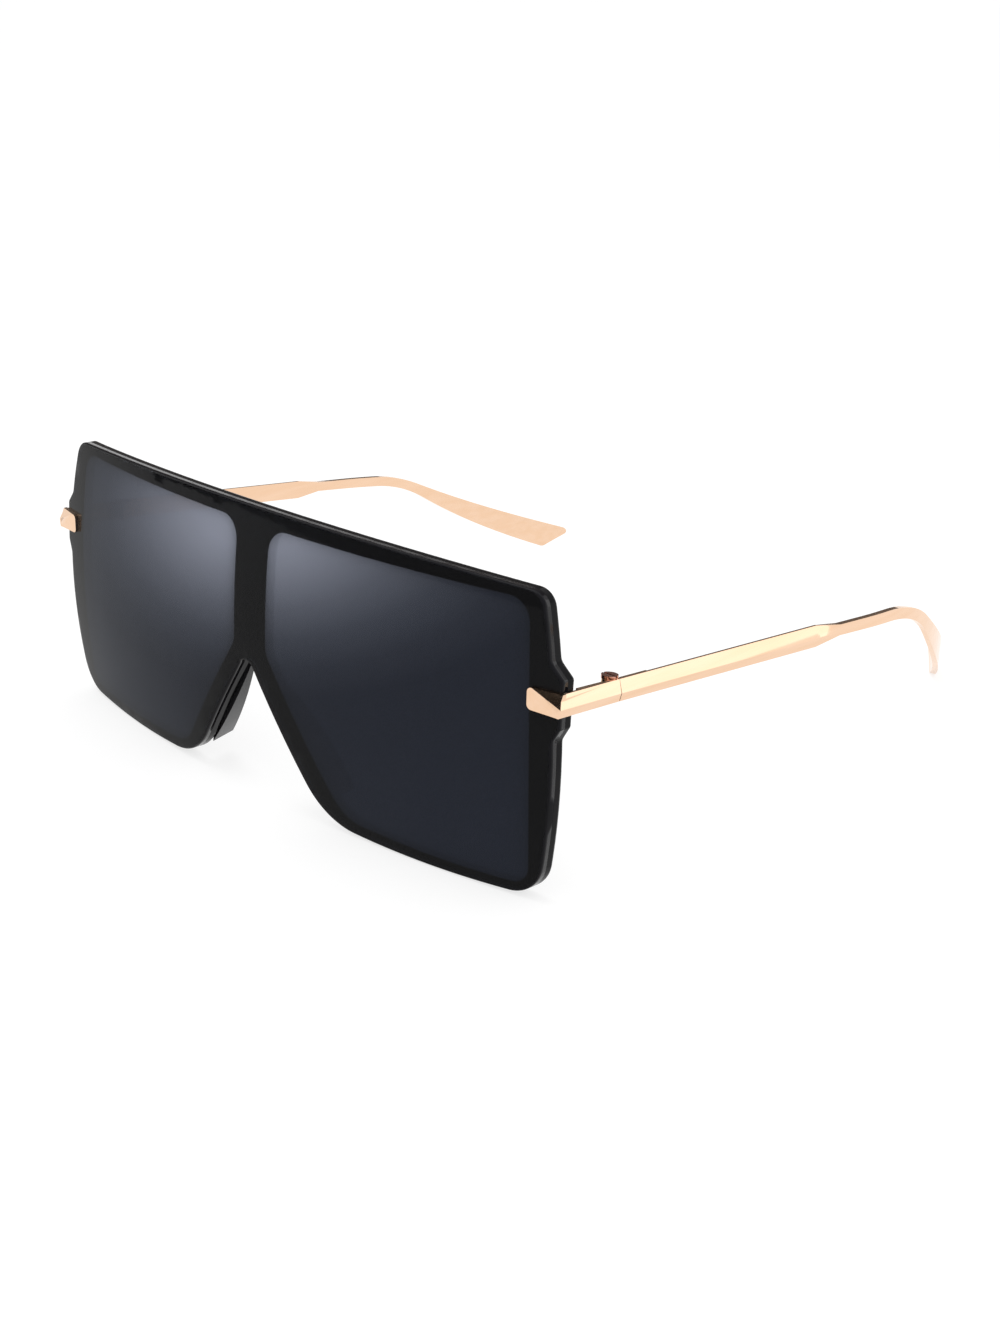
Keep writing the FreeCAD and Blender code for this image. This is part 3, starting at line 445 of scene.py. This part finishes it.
dress_lens()
dress_nuts()
paint("front_frame", frame_black)
for side in SIDES:
    paint(f"nose_pad_{side}", pad_smoke)
    paint(f"hinge_front_{side}", hinge_gold)
    paint(f"hinge_arm_{side}", hinge_gold)
    paint(f"hinge_screw_{side}", screw_copper)
    dress_metal(f"gold_endpiece_{side}", f"endpiece_{side}", "front", ENDPIECE_BEND)
    dress_metal(f"gold_arm_{side}", f"arm_{side}", f"{side}_arm", METAL_BEND)


# The studio


def seen_by_eye_or_mirror(tree):
    """1 for rays from the camera, off a gloss or through the lens, and 0 for the light itself."""
    path = tree.nodes.new("ShaderNodeLightPath")
    first = tree.nodes.new("ShaderNodeMath")
    first.operation = "MAXIMUM"
    tree.links.new(path.outputs["Is Camera Ray"], first.inputs[0])
    tree.links.new(path.outputs["Is Glossy Ray"], first.inputs[1])
    second = tree.nodes.new("ShaderNodeMath")
    second.operation = "MAXIMUM"
    tree.links.new(first.outputs["Value"], second.inputs[0])
    tree.links.new(path.outputs["Is Transmission Ray"], second.inputs[1])
    return second.outputs["Value"]


def make_world():
    """White all round, and dimmer as a light than to the eye."""
    world = bpy.data.worlds.new("studio")
    bpy.context.scene.world = world
    world.use_nodes = True
    tree = world.node_tree
    background = tree.nodes["Background"]
    background.inputs["Color"].default_value = (1.0, 1.0, 1.0, 1.0)
    tree.links.new(add_range(tree, seen_by_eye_or_mirror(tree), AMBIENT, 1.0), background.inputs["Strength"])


def make_floor():
    """A wide pale floor that keeps the part's shadow and glows to the eye."""
    half = FLOOR_HALF
    mesh = bpy.data.meshes.new("floor")
    corners = [(-half, -half, 0.0), (half, -half, 0.0), (half, half, 0.0), (-half, half, 0.0)]
    mesh.from_pydata(corners, [], [(0, 1, 2, 3)])
    floor = bpy.data.objects.new("floor", mesh)
    bpy.context.scene.collection.objects.link(floor)
    material = bpy.data.materials.new("white_floor")
    material.use_nodes = True
    tree = material.node_tree
    tree.nodes.clear()
    matte = tree.nodes.new("ShaderNodeBsdfDiffuse")
    matte.inputs["Color"].default_value = (FLOOR_SHADE, FLOOR_SHADE, FLOOR_SHADE, 1.0)
    shine = tree.nodes.new("ShaderNodeEmission")
    tree.links.new(add_range(tree, seen_by_eye_or_mirror(tree), 0.0, FLOOR_GLOW), shine.inputs["Strength"])
    both = tree.nodes.new("ShaderNodeAddShader")
    tree.links.new(matte.outputs["BSDF"], both.inputs[0])
    tree.links.new(shine.outputs["Emission"], both.inputs[1])
    output = tree.nodes.new("ShaderNodeOutputMaterial")
    tree.links.new(both.outputs["Shader"], output.inputs["Surface"])
    mesh.materials.append(material)


def make_panel_light(name, place, aim, width, height, watts):
    """A soft panel that lights the part and shows in its gloss."""
    light = bpy.data.lights.new(name, "AREA")
    light.shape = "RECTANGLE"
    light.size = width
    light.size_y = height
    light.energy = watts
    panel = bpy.data.objects.new(name, light)
    panel.location = place
    panel.rotation_euler = (Vector(aim) - Vector(place)).to_track_quat("-Z", "Y").to_euler()
    panel.visible_camera = False
    bpy.context.scene.collection.objects.link(panel)


def make_card(name, middle, width, height, shade):
    """A dark card that stands facing the part and shows only in its gloss."""
    card_mesh = bpy.data.meshes.new(name)
    middle = Vector(middle)
    away = Vector((middle.x, middle.y, 0.0)).normalized()
    across = Vector((-away.y, away.x, 0.0)) * width / 2
    up = Vector((0.0, 0.0, height / 2))
    corners = [middle - across - up, middle + across - up, middle + across + up, middle - across + up]
    card_mesh.from_pydata([tuple(corner) for corner in corners], [], [(0, 1, 2, 3)])
    card = bpy.data.objects.new(name, card_mesh)
    bpy.context.scene.collection.objects.link(card)
    material, _, shader = new_material(name, shade)
    shader.inputs["Base Color"].default_value = (*shade, 1.0)
    shader.inputs["Roughness"].default_value = CARD_ROUGHNESS
    card_mesh.materials.append(material)
    card.visible_camera = False
    card.visible_diffuse = False
    card.visible_transmission = False
    card.visible_shadow = False


def make_camera():
    """The camera of the photograph."""
    camera = bpy.data.cameras.new("photo_camera")
    camera.lens = CAMERA_LENS
    camera.clip_start = CAMERA_NEAR
    holder = bpy.data.objects.new("photo_camera", camera)
    holder.location = CAMERA_PLACE
    holder.rotation_euler = [math.radians(angle) for angle in CAMERA_TURN]
    bpy.context.scene.collection.objects.link(holder)
    bpy.context.scene.camera = holder


make_world()
make_floor()
make_panel_light("back_right_panel", (0.25, 0.21, 0.08), aim=(0.075, 0.0, 0.04),
                 width=0.80, height=0.16, watts=0.24)
make_panel_light("top_panel", (-0.10, -0.05, 0.80), aim=(0.0, 0.0, 0.0),
                 width=0.5, height=0.5, watts=1.6)
make_card("front_left_card", (-0.48, -0.78, 0.26), width=1.1, height=0.52, shade=(0.01, 0.01, 0.01))
make_card("back_left_card", (-0.42, 0.40, 0.28), width=1.2, height=0.46, shade=(0.20, 0.18, 0.17))
make_camera()
bpy.context.scene.view_settings.view_transform = "Standard"
